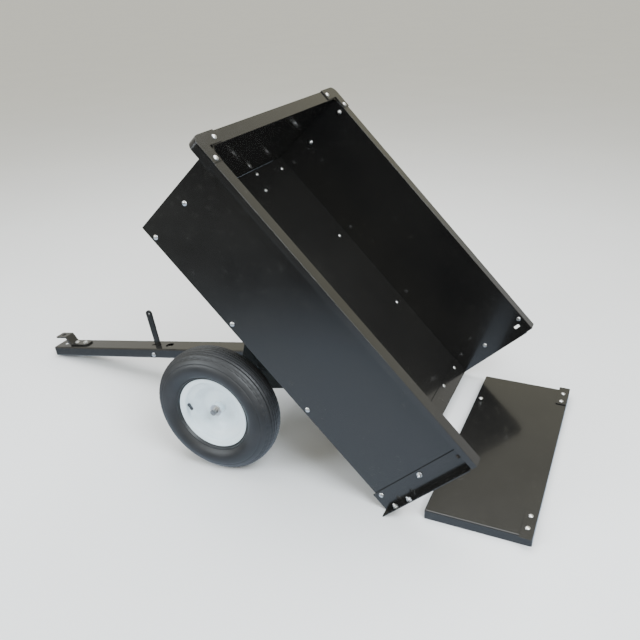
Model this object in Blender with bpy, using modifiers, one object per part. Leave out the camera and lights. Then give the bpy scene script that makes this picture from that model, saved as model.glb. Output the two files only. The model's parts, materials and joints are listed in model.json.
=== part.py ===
"""Tow behind dump cart: tongue, axle, two wheels, a tipping steel box and its lift-off tailgate.

Metres, +Z up, +X towards the rear of the cart, +Y towards its right side.
The cart stands as it is emptied: box tipped onto its rear angles, nose of the tongue on the ground,
tailgate flat on the ground behind.
"""
import math

import bmesh
import bpy
from mathutils import Vector

# Wheels and axle
TYRE_R = 0.203
TYRE_WIDTH = 0.115
WHEEL_Y = 0.385
WHEEL_STEPS = 32
AXLE_X = 0.0279
AXLE_R = 0.0095
AXLE_HALF = 0.420

# Box, in its own frame: x from the front panel, z up from the lower edge of the side panels
BOX_LENGTH = 1.060
BOX_WIDTH = 0.810
SIDE_HEIGHT = 0.348
FLOOR_TOP = 0.036
SHEET = 0.002
RIM_WIDTH = 0.037
RIM_LIP = 0.018
AXLE_BACK = 0.530
AXLE_DROP = 0.264
STATIONS = (0.047, 0.370, 0.693, 1.017)

# Corner caps and rear angles
CAP_PLATE = 0.003
CAP_LIP = 0.027
CAP_CORNER_R = 0.025
ANGLE_LEG = 0.056
ANGLE_THICK = 0.003
ANGLE_OUT = 0.440
ANGLE_LOW = -0.008
ANGLE_HIGH = 0.322

# Axle brackets and latch leg
BRACKET_Y = 0.200
BRACKET_THICK = 0.004
BRACKET_HALF_TOP = 0.205
BRACKET_EYE_R = 0.034
LEG_HALF = 0.030
LEG_THICK = 0.004

# Tongue, in its own frame: x back along the tube from the axle, z square to its top face
TUBE_WIDTH = 0.076
TUBE_HEIGHT = 0.038
TUBE_WALL = 0.0025
NOSE = -1.030
TAIL = 0.045
HITCH_WIDTH = 0.044
HITCH_THICK = 0.006
HITCH_RISE = 0.055
HITCH_END = -1.022
HITCH_PIN_X = -0.995
HITCH_BOLTS = (-0.935, -0.890)
LEVER_X = -0.519
LEVER_PIVOT_Z = -0.004
LEVER_TOP = 0.163
LEVER_WIDTH = 0.026
LEVER_THICK = 0.006
LATCH_HOLE_X = -0.463
LATCH_HOLE_R = 0.0155
SLIDE_Z = 0.011
SLIDE_THICK = 0.005

# Tailgate, in its own frame: x from its lower edge, z up from its inner face
GATE_X = 0.6638
GATE_HEIGHT = 0.298
GATE_WIDTH = 0.800
GATE_FLANGE = 0.030
GATE_SHUT_X = 1.0669
GATE_SHUT_Z = 0.030
EAR_BOLTS = (0.316, 0.368)

# Fits
GAP = 0.0003
SLACK = 0.0004

# Finishes: colour, roughness, metallic
BLACK_PAINT = ((0.012, 0.012, 0.013), 0.18, 0.0)
WHITE_PAINT = ((0.74, 0.78, 0.82), 0.35, 0.0)
ZINC = ((0.72, 0.73, 0.75), 0.32, 1.0)
STEEL = ((0.42, 0.42, 0.43), 0.38, 1.0)
TYRE_RUBBER = ((0.030, 0.031, 0.034), 0.72, 0.0)
STEM_RUBBER = ((0.020, 0.022, 0.026), 0.6, 0.0)
NYLON = ((0.10, 0.10, 0.11), 0.5, 0.0)

PARTS = None
CUTTERS = None


def start_scene():
    """Empty the scene and make one collection for the cart and one for its cutters."""
    global PARTS, CUTTERS
    for obj in list(bpy.data.objects):
        bpy.data.objects.remove(obj, do_unlink=True)
    PARTS = bpy.data.collections.new("tow_behind_cart")
    CUTTERS = bpy.data.collections.new("cutters")
    bpy.context.scene.collection.children.link(PARTS)
    bpy.context.scene.collection.children.link(CUTTERS)


def move_to(obj, collection):
    for old in list(obj.users_collection):
        old.objects.unlink(obj)
    collection.objects.link(obj)


def empty(name, location, rotation=(0, 0, 0), parent=None):
    obj = bpy.data.objects.new(name, None)
    obj.location = location
    obj.rotation_euler = rotation
    obj.parent = parent
    PARTS.objects.link(obj)
    return obj


def finish_material(name, finish):
    colour, roughness, metallic = finish
    material = bpy.data.materials.new(name)
    material.use_nodes = True
    shader = material.node_tree.nodes["Principled BSDF"]
    shader.inputs["Base Color"].default_value = (*colour, 1.0)
    shader.inputs["Roughness"].default_value = roughness
    shader.inputs["Metallic"].default_value = metallic
    material.diffuse_color = (*colour, 1.0)
    return material


def as_part(obj, parent, finish, smooth=False):
    """File an object as a part of the cart, with its own material."""
    move_to(obj, PARTS)
    obj.parent = parent
    obj.data.materials.clear()
    obj.data.materials.append(finish_material(obj.name + "_finish", finish))
    if smooth:
        obj.data.shade_smooth()
        obj.data.set_sharp_from_angle(angle=math.radians(35))
    return obj


def as_cutter(obj, parent):
    move_to(obj, CUTTERS)
    obj.parent = parent
    obj.hide_render = True
    obj.display_type = "WIRE"
    return obj


def mesh_object(name, bm):
    mesh = bpy.data.meshes.new(name)
    bm.to_mesh(mesh)
    bm.free()
    obj = bpy.data.objects.new(name, mesh)
    bpy.context.scene.collection.objects.link(obj)
    return obj


def block(name, low, high):
    """A box between two corners."""
    low, high = Vector(low), Vector(high)
    bpy.ops.mesh.primitive_cube_add(size=1)
    obj = bpy.context.object
    obj.name = name
    obj.data.name = name
    for vertex in obj.data.vertices:
        vertex.co = Vector(a * b for a, b in zip(vertex.co, high - low))
    obj.location = (low + high) / 2
    return obj


def rod(name, radius, start, end, sides=20):
    """A cylinder from start to end."""
    start, end = Vector(start), Vector(end)
    span = end - start
    bpy.ops.mesh.primitive_cylinder_add(radius=radius, depth=span.length, vertices=sides)
    obj = bpy.context.object
    obj.name = name
    obj.data.name = name
    obj.location = (start + end) / 2
    obj.rotation_mode = "QUATERNION"
    obj.rotation_quaternion = span.to_track_quat("Z", "Y")
    return obj


def bent_sheet(name, profile, start, end, axis, thickness, closed=False):
    """Sheet metal of one bent section: a profile of mid-thickness points, run along an axis."""
    places = {"X": lambda a, b: (start, a, b), "Y": lambda a, b: (a, start, b), "Z": lambda a, b: (a, b, start)}
    bm = bmesh.new()
    verts = [bm.verts.new(places[axis](a, b)) for a, b in profile]
    edges = [bm.edges.new(pair) for pair in zip(verts, verts[1:])]
    if closed:
        edges.append(bm.edges.new((verts[-1], verts[0])))
    ring = bmesh.ops.extrude_edge_only(bm, edges=edges)["geom"]
    moved = [item for item in ring if isinstance(item, bmesh.types.BMVert)]
    step = {"X": (end - start, 0, 0), "Y": (0, end - start, 0), "Z": (0, 0, end - start)}[axis]
    bmesh.ops.translate(bm, verts=moved, vec=step)
    bmesh.ops.recalc_face_normals(bm, faces=bm.faces)
    obj = mesh_object(name, bm)
    shell = obj.modifiers.new("sheet", "SOLIDIFY")
    shell.thickness = thickness
    shell.offset = 0
    shell.use_even_offset = True
    return obj


def flat_plate(name, outline, thickness, plane, level, holes=()):
    """A flat plate with a filled outline. plane is XY or XZ, level its mid-thickness place."""
    curve = bpy.data.curves.new(name, "CURVE")
    curve.dimensions = "2D"
    curve.fill_mode = "BOTH"
    curve.extrude = thickness / 2
    for loop in (outline, *holes):
        spline = curve.splines.new("POLY")
        spline.points.add(len(loop) - 1)
        for point, (a, b) in zip(spline.points, loop):
            point.co = (a, b, 0, 1)
        spline.use_cyclic_u = True
    guide = bpy.data.objects.new(name + "_outline", curve)
    bpy.context.scene.collection.objects.link(guide)
    obj = curve_to_mesh(guide, name)
    if plane == "XZ":
        obj.rotation_euler = (math.pi / 2, 0, 0)
        obj.location = (0, level, 0)
    else:
        obj.location = (0, 0, level)
    return obj


def curve_to_mesh(guide, name):
    """Turn a curve object into a welded mesh object and remove the curve."""
    bpy.context.view_layer.update()
    graph = bpy.context.evaluated_depsgraph_get()
    mesh = bpy.data.meshes.new_from_object(guide.evaluated_get(graph))
    mesh.name = name
    obj = bpy.data.objects.new(name, mesh)
    bpy.context.scene.collection.objects.link(obj)
    obj.matrix_world = guide.matrix_world
    bpy.data.objects.remove(guide, do_unlink=True)
    bm = bmesh.new()
    bm.from_mesh(mesh)
    bmesh.ops.remove_doubles(bm, verts=bm.verts, dist=0.00001)
    bmesh.ops.recalc_face_normals(bm, faces=bm.faces)
    bm.to_mesh(mesh)
    bm.free()
    return obj


def wire(name, points, radius, resolution=2):
    """A round wire through a list of points."""
    curve = bpy.data.curves.new(name, "CURVE")
    curve.dimensions = "3D"
    curve.bevel_depth = radius
    curve.bevel_resolution = resolution
    curve.use_fill_caps = True
    spline = curve.splines.new("POLY")
    spline.points.add(len(points) - 1)
    for point, place in zip(spline.points, points):
        point.co = (*place, 1)
    guide = bpy.data.objects.new(name + "_path", curve)
    bpy.context.scene.collection.objects.link(guide)
    return curve_to_mesh(guide, name)


def turned(name, profile, steps, closed=False):
    """A shape turned about local Z from (radius, height) points, listed top to bottom outside."""
    bm = bmesh.new()
    verts = [bm.verts.new((radius, 0, height)) for radius, height in profile]
    for pair in zip(verts, verts[1:]):
        bm.edges.new(pair)
    if closed:
        bm.edges.new((verts[-1], verts[0]))
    obj = mesh_object(name, bm)
    screw = obj.modifiers.new("turn", "SCREW")
    screw.steps = steps
    screw.render_steps = steps
    screw.use_merge_vertices = True
    screw.merge_threshold = 0.00001
    return obj


def bake(obj):
    """Apply an object's modifiers."""
    bpy.context.view_layer.update()
    graph = bpy.context.evaluated_depsgraph_get()
    mesh = bpy.data.meshes.new_from_object(obj.evaluated_get(graph))
    obj.modifiers.clear()
    obj.data = mesh
    mesh.name = obj.name


def round_edges(obj, chosen, radius, segments=3):
    """Round the edges for which chosen(middle, direction) is true, in local coordinates."""
    bake(obj)
    bm = bmesh.new()
    bm.from_mesh(obj.data)
    edges = []
    for edge in bm.edges:
        a, b = edge.verts[0].co, edge.verts[1].co
        if chosen((a + b) / 2, (b - a).normalized()):
            edges.append(edge)
    bmesh.ops.bevel(bm, geom=edges, offset=radius, segments=segments, profile=0.5, affect="EDGES",
                    clamp_overlap=True)
    bm.to_mesh(obj.data)
    bm.free()


def boolean(obj, other, operation):
    modifier = obj.modifiers.new(other.name, "BOOLEAN")
    modifier.operation = operation
    modifier.solver = "EXACT"
    modifier.object = other


def cut(parts, cutter, parent):
    """Cut one cutter out of several parts of one frame."""
    as_cutter(cutter, parent)
    for part in parts:
        boolean(part, cutter, "DIFFERENCE")


def weld(part, pieces, parent):
    """Join extra pieces onto a part."""
    for piece in pieces:
        as_cutter(piece, parent)
        boolean(part, piece, "UNION")


def arc(centre, radius, start, end, count):
    """Points on an arc, angles in degrees."""
    angles = [math.radians(start + (end - start) * i / (count - 1)) for i in range(count)]
    return [(centre[0] + radius * math.cos(a), centre[1] + radius * math.sin(a)) for a in angles]


def rounded_rectangle(width, height, radius, count=3):
    across, up = width / 2 - radius, height / 2 - radius
    corners = ((across, up, 0), (-across, up, 90), (-across, -up, 180), (across, -up, 270))
    return [point for a, b, turn in corners for point in arc((a, b), radius, turn, turn + 90, count)]


def bolt(name, place, rotation, grip, parent, head_r=0.0078, shank_r=0.0031, nut_r=0.0068):
    """A domed bolt with its nut: head on local +Z, clamping a stack of plates grip thick."""
    dome = [(0, 0.0045), (head_r * 0.6, 0.0036), (head_r, 0.0008), (head_r, GAP)]
    shank = [(shank_r, GAP), (shank_r, -grip - GAP)]
    nut = [(nut_r, -grip - GAP), (nut_r, -grip - 0.0055), (shank_r, -grip - 0.0055)]
    tip = [(shank_r, -grip - 0.0085), (0, -grip - 0.0085)]
    obj = turned(name, dome + shank + nut + tip, 10)
    obj.location = place
    obj.rotation_euler = rotation
    return as_part(obj, parent, ZINC, smooth=True)


def nose_angle():
    """Slope of the tongue with the plate under its nose on the ground."""
    below = TUBE_HEIGHT / 2 + GAP + HITCH_THICK
    return math.asin(TYRE_R / math.hypot(NOSE, below)) - math.atan2(below, -NOSE)


def tip_angle():
    """Tilt of the box with its rear angles on the ground."""
    back = BOX_LENGTH + GAP + ANGLE_THICK - AXLE_BACK
    down = AXLE_DROP + ANGLE_LOW
    return math.asin(TYRE_R / math.hypot(back, down)) + math.atan2(down, back)


def box_point(x, z):
    """World x and z of a point of the tipped box."""
    tilt = tip_angle()
    along, up = x - AXLE_BACK, z + AXLE_DROP
    return (AXLE_X + along * math.cos(tilt) + up * math.sin(tilt),
            TYRE_R - along * math.sin(tilt) + up * math.cos(tilt))


def gate_pivot():
    """World x and z of the axis that carries the lying tailgate to its shut place."""
    turn = math.pi / 2 - tip_angle()
    start = Vector((AXLE_X + GATE_X, GATE_FLANGE))
    shut = Vector(box_point(GATE_SHUT_X, GATE_SHUT_Z))
    move = shut - start
    across = Vector((-move.y, move.x))
    return (start + shut) / 2 + across / (2 * math.tan(turn / 2))


# Tongue and hitch

def make_tongue(frame):
    section = rounded_rectangle(TUBE_WIDTH - TUBE_WALL, TUBE_HEIGHT - TUBE_WALL, 0.004)
    tube = bent_sheet("tongue_tube", section, NOSE, TAIL, "X", TUBE_WALL, closed=True)
    top = TUBE_HEIGHT / 2
    slot_front = LEVER_X - 0.028
    slot_rear = LEVER_X + LEVER_WIDTH / 2 + 0.0015
    cut([tube], block("lever_slot_cutter", (slot_front, -0.0045, 0.005), (slot_rear, 0.0045, 0.040)), frame)
    cut([tube], rod("latch_hole_cutter", LATCH_HOLE_R, (LATCH_HOLE_X, 0, 0.005), (LATCH_HOLE_X, 0, 0.040), 24),
        frame)
    cut([tube], rod("axle_hole_cutter", AXLE_R + SLACK, (0, -0.05, 0), (0, 0.05, 0), 24), frame)
    cut([tube], rod("lever_bolt_hole_cutter", 0.0036, (LEVER_X, -0.05, LEVER_PIVOT_Z),
                    (LEVER_X, 0.05, LEVER_PIVOT_Z), 16), frame)
    as_part(tube, frame, BLACK_PAINT, smooth=True)
    return tube, top


def make_hitch(frame, tube, top):
    """Z-bent plate with a foot, a steep web and a raised front, and a flat plate under the nose."""
    mid = top + GAP + HITCH_THICK / 2
    half = HITCH_WIDTH / 2
    profile = [(-0.866, mid), (-0.950, mid), (-0.968, HITCH_RISE), (HITCH_END, HITCH_RISE)]
    plate = bent_sheet("hitch_plate", profile, -half, half, "Y", HITCH_THICK)
    round_edges(plate, lambda m, d: abs(d.z) > 0.9 and m.x > -0.87, 0.014, 4)
    round_edges(plate, lambda m, d: abs(d.z) > 0.9 and m.x < HITCH_END + 0.01, 0.006, 3)
    lower = block("hitch_lower_plate", (NOSE, -half, -mid - HITCH_THICK / 2), (-0.868, half, -mid + HITCH_THICK / 2))
    cut([plate, tube, lower], rod("hitch_pin_cutter", 0.0085, (HITCH_PIN_X, 0, -0.05), (HITCH_PIN_X, 0, 0.09), 20),
        frame)
    for name, x in zip(("hitch_bolt_front", "hitch_bolt_rear"), HITCH_BOLTS):
        cut([plate, tube, lower], rod(name + "_cutter", 0.0046, (x, 0, -0.05), (x, 0, 0.05), 14), frame)
        bolt(name, (x, 0, top + GAP + HITCH_THICK), (0, 0, 0), TUBE_HEIGHT + 2 * (HITCH_THICK + GAP), frame,
             head_r=0.0095, shank_r=0.0040, nut_r=0.0080)
    as_part(plate, frame, BLACK_PAINT)
    as_part(lower, frame, BLACK_PAINT)


def make_latch(frame):
    """Hand lever on its bolt, the bar it slides and the torsion spring beside it."""
    pivot = empty("lever_pivot", (LEVER_X, 0, LEVER_PIVOT_Z), parent=frame)
    half = LEVER_WIDTH / 2
    high = LEVER_TOP - LEVER_PIVOT_Z
    outline = arc((0, high - half), half, 0, 180, 9) + arc((0, 0), 0.0114, 180, 360, 9)
    holes = (arc((0, high - 0.014), 0.0042, 0, 330, 12), arc((0, 0), 0.0036, 0, 345, 16))
    lever = flat_plate("latch_lever", outline, LEVER_THICK, "XZ", 0, holes)
    as_part(lever, pivot, BLACK_PAINT)

    slide_frame = empty("latch_slide_frame", (LEVER_X, 0, SLIDE_Z), parent=frame)
    nose = LATCH_HOLE_X + 0.004 - LEVER_X
    outline = [(-0.034, -0.010), (0.039, -0.010), (0.044, -0.005), (nose, -0.005),
               (nose, 0.005), (0.044, 0.005), (0.039, 0.010), (-0.034, 0.010)]
    window = [(-0.0165, -0.0045), (0.0165, -0.0045), (0.0165, 0.0045), (-0.0165, 0.0045)]
    slide = flat_plate("latch_slide", outline, SLIDE_THICK, "XY", 0, [window])
    as_part(slide, slide_frame, STEEL)

    coil_r, wire_r, turns, first = 0.0068, 0.0010, 3, 0.0075
    pitch = 0.0028
    count = turns * 14 + 1
    points = []
    for i in range(count):
        a = 2 * math.pi * i / 14
        points.append((coil_r * math.cos(a), first + pitch * i / 14, coil_r * math.sin(a)))
    spring = wire("latch_spring", points, wire_r, 1)
    spring.location = (LEVER_X, 0, LEVER_PIVOT_Z)
    as_part(spring, frame, STEEL, smooth=True)
    bolt("lever_pivot_bolt", (LEVER_X, -TUBE_WIDTH / 2 - GAP, LEVER_PIVOT_Z), (math.pi / 2, 0, 0),
         TUBE_WIDTH + GAP, frame, head_r=0.0072)


# Axle and wheels

def make_axle(frame):
    axle = rod("axle", AXLE_R, (0, -AXLE_HALF, 0), (0, AXLE_HALF, 0), 24)
    for name, side in (("left", -1), ("right", 1)):
        pin_y = side * (WHEEL_Y + 0.0216)
        cut([axle], rod(name + "_cotter_cutter", 0.0021, (-0.02, pin_y, 0), (0.02, pin_y, 0), 12), frame)
        make_cotter(name, side, pin_y, frame)
        spacer(name + "_inner_spacer", TUBE_WIDTH / 2 + GAP, BRACKET_Y - BRACKET_THICK / 2 - GAP, side, 0.0134, frame)
        spacer(name + "_outer_spacer", BRACKET_Y + BRACKET_THICK / 2 + GAP, WHEEL_Y - 0.0429, side, 0.0134, frame)
        spacer(name + "_inner_washer", WHEEL_Y - 0.0426, WHEEL_Y - 0.0406, side, 0.019, frame)
        spacer(name + "_outer_washer", WHEEL_Y + 0.0176, WHEEL_Y + 0.0196, side, 0.019, frame)
    as_part(axle, frame, STEEL, smooth=True)


def spacer(name, near, far, side, radius, frame):
    """A tube or washer on the axle between two distances from the middle."""
    bore = AXLE_R + SLACK
    half = (far - near) / 2
    profile = [(bore, half), (radius, half), (radius, -half), (bore, -half)]
    obj = turned(name, profile, 24, closed=True)
    obj.location = (0, side * (near + far) / 2, 0)
    obj.rotation_euler = (-side * math.pi / 2, 0, 0)
    return as_part(obj, frame, ZINC, smooth=True)


def make_cotter(name, side, pin_y, frame):
    """A ring-headed pin through the end of the axle."""
    leg = [(-0.017, 0), (-0.006, 0), (0.006, 0), (0.0125, 0)]
    loop = arc((0.0185, 0.0), 0.0050, 165, -150, 12)
    path = [(x, 0, z) for x, z in leg + loop]
    pin = wire(name + "_cotter_pin", path, 0.0015, 1)
    pin.location = (0, pin_y, 0)
    as_part(pin, frame, ZINC, smooth=True)


def tyre_profile():
    """Closed section of the tyre carcass: a rounded outside, open at the beads."""
    half = TYRE_WIDTH / 2
    outer = [(0.1150, 0.0315), (0.1235, 0.0440), (0.1400, half - 0.0015), (0.1550, half), (0.1720, half - 0.004),
             (0.1870, 0.0440), (0.1960, 0.0325), (0.2010, 0.0190), (TYRE_R, 0.0060)]
    inner = [(0.1950, 0.0), (0.1930, -0.0180), (0.1860, -0.0350), (0.1760, -0.0450), (0.1550, -0.0505),
             (0.1330, -0.0460), (0.1220, -0.0350), (0.1120, -0.0240), (0.1045, -0.0215), (0.1024, -0.0215),
             (0.1024, -0.0284)]
    outside = outer + [(r, -h) for r, h in reversed(outer)]
    inside = inner[::-1] + [(r, -h) for r, h in inner[1:]]
    return outside + inside


def rim_profile():
    """Closed section of the pressed rim, its dish and its hub tube."""
    tyre_side = [(0.1170, 0.0372), (0.1135, 0.0334), (0.1019, 0.0300), (0.1010, 0.0225), (0.0850, 0.0140),
                 (0.0850, -0.0130), (0.1010, -0.0200), (0.1019, -0.0300), (0.1135, -0.0334), (0.1170, -0.0372)]
    back = [(0.1130, -0.0362), (0.0990, -0.0318), (0.0985, -0.0215), (0.0825, -0.0148), (0.0825, 0.0100),
            (0.0790, 0.0102), (0.0641, -0.0052), (0.0535, -0.0106), (0.0175, -0.0112), (0.0175, -0.0380),
            (0.0130, -0.0380)]
    front = [(0.0130, 0.0150), (0.0175, 0.0150), (0.0175, -0.0080), (0.0525, -0.0078), (0.0620, -0.0032),
             (0.0745, 0.0100), (0.0800, 0.0160), (0.0985, 0.0240), (0.0990, 0.0320), (0.1130, 0.0372)]
    return tyre_side + back + front


def make_wheel(name, side):
    centre = empty(name + "_wheel_axis", (AXLE_X, side * WHEEL_Y, TYRE_R))
    turn = (-side * math.pi / 2, 0, 0)
    tyre = turned(name + "_tyre", tyre_profile(), WHEEL_STEPS, closed=True)
    tyre.rotation_euler = turn
    as_part(tyre, centre, TYRE_RUBBER, smooth=True)

    rim = turned(name + "_rim", rim_profile(), WHEEL_STEPS, closed=True)
    rim.rotation_euler = turn
    stem_r, stem_out = 0.0895, side * 0.0205
    hole = rod(name + "_stem_cutter", 0.0046, (-stem_r - 0.0062, side * 0.008, 0),
               (-stem_r + 0.0062, side * 0.033, 0), 14)
    cut([rim], hole, centre)
    as_part(rim, centre, WHITE_PAINT, smooth=True)

    profile = [(0, 0.0280), (0.0030, 0.0280), (0.0036, 0.0250), (0.0040, -0.0080), (0, -0.0080)]
    stem = turned(name + "_valve_stem", profile, 14)
    stem.location = (-stem_r, stem_out, 0)
    stem.rotation_mode = "QUATERNION"
    stem.rotation_quaternion = Vector((0.012, side * 0.024, 0)).to_track_quat("Z", "Y")
    as_part(stem, centre, STEM_RUBBER, smooth=True)

    bush(name + "_outer_bush", 0.0153, 1, centre, side)
    bush(name + "_inner_bush", 0.0383, -1, centre, side)


def bush(name, face, end, centre, side):
    """A flanged bush pressed into one end of the hub tube."""
    bore, body, flange = AXLE_R + SLACK, 0.0127, 0.0172
    profile = [(bore, 0.002), (flange, 0.002), (flange, 0), (body, 0), (body, -0.025), (bore, -0.025)]
    obj = turned(name, profile, 24, closed=True)
    obj.location = (0, side * end * face, 0)
    obj.rotation_euler = (-side * end * math.pi / 2, 0, 0)
    as_part(obj, centre, NYLON, smooth=True)


# Box

def make_floor(box):
    half = BOX_WIDTH / 2 - SHEET - GAP
    floor = block("floor_panel", (SHEET + GAP, -half, FLOOR_TOP - SHEET), (BOX_LENGTH - 0.004, half, FLOOR_TOP))
    as_part(floor, box, BLACK_PAINT)
    level = FLOOR_TOP + GAP + SHEET / 2
    profile = [(BOX_LENGTH - 0.062, level), (BOX_LENGTH - 0.0015, level), (BOX_LENGTH - 0.0015, 0.004)]
    sill = bent_sheet("rear_sill", profile, -half, half, "Y", SHEET)
    as_part(sill, box, BLACK_PAINT)
    return floor, sill


def make_front_panel(box):
    half = BOX_WIDTH / 2 - SHEET - GAP
    mid, top = SHEET / 2, SIDE_HEIGHT - SHEET / 2
    profile = [(-RIM_WIDTH + mid, top - RIM_LIP), (-RIM_WIDTH + mid, top), (mid, top), (mid, 0)]
    panel = bent_sheet("front_panel", profile, -half, half, "Y", SHEET)
    returns = []
    for side in (-1, 1):
        inner, outer = sorted((side * (half - SHEET), side * (half - 0.00005)))
        returns.append(block("front_return_%d" % side, (mid, inner, FLOOR_TOP + 2 * GAP), (0.057, outer, top - 0.002)))
    weld(panel, returns, box)
    as_part(panel, box, BLACK_PAINT)
    return panel


def make_side_panel(name, side, box):
    """Upright sheet with its top bent outwards and down."""
    wall = side * (BOX_WIDTH / 2 - SHEET / 2)
    edge = side * (BOX_WIDTH / 2 + RIM_WIDTH - SHEET / 2)
    top = SIDE_HEIGHT - SHEET / 2
    profile = [(wall, 0), (wall, top), (edge, top), (edge, top - RIM_LIP)]
    panel = bent_sheet(name + "_side_panel", profile, 0, BOX_LENGTH, "X", SHEET)
    as_part(panel, box, BLACK_PAINT)
    return panel


def make_corner_cap(name, side, box, front, panel):
    """L-shaped plate with a rounded corner and a lip, over the two rims, with its two bolts."""
    low = SIDE_HEIGHT + GAP
    edge_x, edge_y = -RIM_WIDTH - 0.0028, BOX_WIDTH / 2 + RIM_WIDTH + 0.0028
    inner_y, end_x, end_y = BOX_WIDTH / 2 + 0.001, 0.047, 0.346
    centre = (edge_x + CAP_CORNER_R, edge_y - CAP_CORNER_R)
    outline = [(edge_x, end_y)] + arc(centre, CAP_CORNER_R, 180, 90, 7)
    outline += [(end_x, edge_y), (end_x, inner_y), (-0.0005, inner_y), (-0.0005, end_y)]
    outline = [(x, side * y) for x, y in outline]
    cap = flat_plate(name + "_corner_cap", outline, CAP_PLATE, "XY", low + CAP_PLATE / 2)
    inset = 0.0013
    lip = [(edge_x + inset, end_y + 0.0002)] + arc(centre, CAP_CORNER_R - inset, 180, 90, 7)
    lip += [(end_x - 0.0002, edge_y - inset)]
    skirt = bent_sheet(name + "_cap_lip", [(x, side * y) for x, y in lip], low + CAP_PLATE - CAP_LIP,
                       low + CAP_PLATE * 0.6, "Z", 0.0022)
    weld(cap, [skirt], box)
    as_part(cap, box, BLACK_PAINT)
    grip = CAP_PLATE + GAP + SHEET
    for spot, (x, y), under in (("front", (-0.018, 0.363), front), ("side", (0.036, 0.4225), panel)):
        place = (x, side * y, low + CAP_PLATE)
        cut([cap, under], rod("%s_%s_cap_cutter" % (name, spot), 0.0036, (x, side * y, 0.336), (x, side * y, 0.36), 14),
            box)
        bolt("%s_cap_bolt_%s" % (name, spot), place, (0, 0, 0), grip, box)


def make_rear_angle(name, side, box, panel):
    """Angle up the rear edge of a side panel, with a leg that stands out past it."""
    near = BOX_WIDTH / 2 + GAP + ANGLE_THICK / 2
    back = BOX_LENGTH + GAP + ANGLE_THICK / 2
    profile = [(BOX_LENGTH - ANGLE_LEG, side * near), (back, side * near), (back, side * ANGLE_OUT)]
    angle = bent_sheet(name + "_rear_angle", profile, ANGLE_LOW, ANGLE_HIGH, "Z", ANGLE_THICK)
    for z in (0.041, 0.094, 0.237, 0.294):
        place = side * (BOX_WIDTH / 2 + 0.020)
        cutter = rod("%s_angle_hole_%d" % (name, z * 1000), 0.0036, (1.05, place, z), (1.07, place, z), 12)
        cut([angle], cutter, box)
    wall = side * BOX_WIDTH / 2
    slot = block(name + "_gate_slot_cutter", (1.0195, min(0, wall * 1.03), 0.297), (1.0305, max(0, wall * 1.03), 0.319))
    cut([panel, angle], slot, box)
    hole = rod(name + "_angle_bolt_cutter", 0.0036, (1.018, wall - 0.01, 0.166), (1.018, wall + 0.01, 0.166), 14)
    cut([panel, angle], hole, box)
    bolt(name + "_angle_bolt", (1.018, side * (BOX_WIDTH / 2 - SHEET), 0.166), (side * math.pi / 2, 0, 0),
         SHEET + GAP + ANGLE_THICK, box)
    as_part(angle, box, BLACK_PAINT)


def make_cross_member(number, x, box):
    """Hat section under the floor with a tab at each end for the side panel's bolt."""
    half = BOX_WIDTH / 2 - SHEET - GAP
    top, foot = FLOOR_TOP - SHEET - GAP - SHEET / 2, SHEET / 2
    first, last = max(x - 0.032, 0.004), min(x + 0.032, BOX_LENGTH - 0.004)
    profile = [(first, foot), (x - 0.018, foot), (x - 0.018, top), (x + 0.018, top), (x + 0.018, foot), (last, foot)]
    member = bent_sheet("cross_member_%d" % number, profile, -half, half, "Y", SHEET)
    tabs = []
    for side in (-1, 1):
        inner, outer = sorted((side * (half - SHEET), side * (half - 0.00005)))
        tabs.append(block("member_tab_%d_%d" % (number, side), (x - 0.0175, inner, 0.003), (x + 0.0175, outer, top)))
    weld(member, tabs, box)
    as_part(member, box, BLACK_PAINT)


def make_axle_bracket(name, side, box):
    """Trapezoid plate from the cross members down to the axle, with a flange along its top."""
    top = -GAP
    centre = (AXLE_BACK, -AXLE_DROP)
    rise = top + AXLE_DROP
    toward = math.degrees(math.atan2(rise, BRACKET_HALF_TOP))
    swing = math.degrees(math.acos(BRACKET_EYE_R / math.hypot(rise, BRACKET_HALF_TOP)))
    start = toward - swing
    outline = [(AXLE_BACK - BRACKET_HALF_TOP, top), (AXLE_BACK + BRACKET_HALF_TOP, top)]
    outline += arc(centre, BRACKET_EYE_R, start, -180 - start, 9)
    eye = arc(centre, AXLE_R + SLACK, 0, 345, 24)
    plate = flat_plate(name + "_axle_bracket", outline, BRACKET_THICK, "XZ", side * BRACKET_Y, [eye])
    inner, outer = sorted((side * (BRACKET_Y - 0.001), side * (BRACKET_Y + 0.034)))
    flange = block(name + "_bracket_flange", (AXLE_BACK - BRACKET_HALF_TOP + 0.001, inner, top - 0.0041),
                   (AXLE_BACK + BRACKET_HALF_TOP - 0.001, outer, top - 0.0001))
    weld(plate, [flange], box)
    as_part(plate, box, BLACK_PAINT)


def make_latch_leg(box):
    """Channel that stands on the tongue when the box is level, with a pierced foot for the latch."""
    web = AXLE_BACK + LATCH_HOLE_X
    low = TUBE_HEIGHT / 2 + 0.0012 - AXLE_DROP
    front = web - 0.037
    profile = [(front, -LEG_HALF), (web, -LEG_HALF), (web, LEG_HALF), (front, LEG_HALF)]
    leg = bent_sheet("latch_leg", profile, low, -0.0020, "Z", LEG_THICK)
    pad = block("leg_pad", (front - 0.003, -0.048, -GAP - 0.004), (web + 0.0018, 0.048, -GAP))
    foot_low = low - 0.030
    foot = block("leg_foot", (web - 0.0018, -0.012, foot_low), (web + 0.0018, 0.012, low + 0.020))
    weld(leg, [pad, foot], box)
    slide = SLIDE_Z - AXLE_DROP
    window = block("leg_window_cutter", (web - 0.01, -0.0065, slide - 0.0055), (web + 0.01, 0.0065, slide + 0.0055))
    cut([leg], window, box)
    as_part(leg, box, BLACK_PAINT)


# Tailgate

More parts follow.
